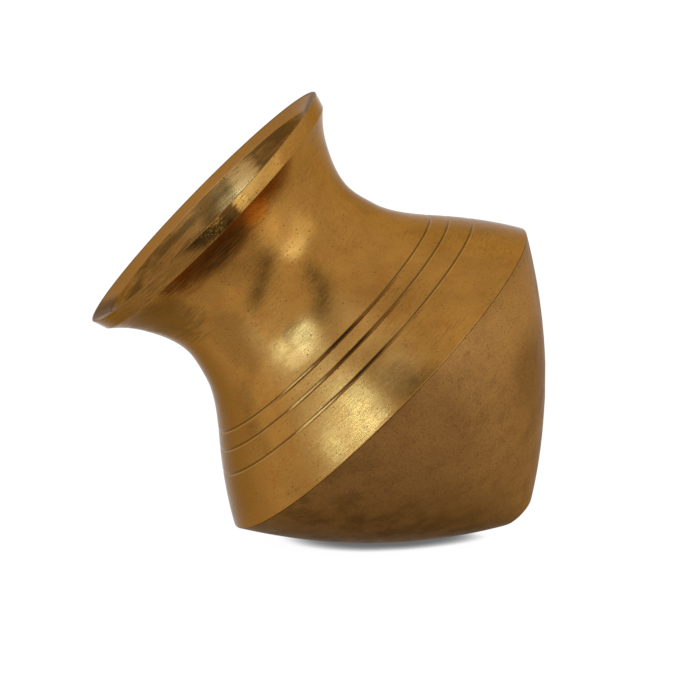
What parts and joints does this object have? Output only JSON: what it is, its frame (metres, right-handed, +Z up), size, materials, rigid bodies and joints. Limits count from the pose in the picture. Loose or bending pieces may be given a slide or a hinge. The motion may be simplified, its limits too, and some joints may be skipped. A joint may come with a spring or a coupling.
{
  "type": "abhishek lota",
  "caption": "Small turned brass water pot with a flared mouth, narrow waist and sharp belly over a tapering bowl, lying on its side with the mouth up to one side.",
  "frame": {"origin": "Middle of the small flat facet of the lower bowl that the pot lies on, on the surface it rests on", "axes": "+Z up from the resting surface, +X towards the foot and -X towards the mouth, which points up and along -X at 45 degrees; the pot's own axis lies in the XZ plane, and +Y is across it"},
  "size_m": [0.077, 0.0702, 0.077],
  "materials": {
    "turned_brass": "satin turned brass, golden brown, with fine rings and small dark pits",
    "aged_brass": "satin turned brass gone browner with handling, mottled, with small dark pits",
    "spelter": "dull brazing brass, left as it ran"
  },
  "bodies": {
    "root": {"upper_shell": "turned_brass", "lower_bowl": "aged_brass", "braze_run": "spelter"}
  },
  "joints": []
}
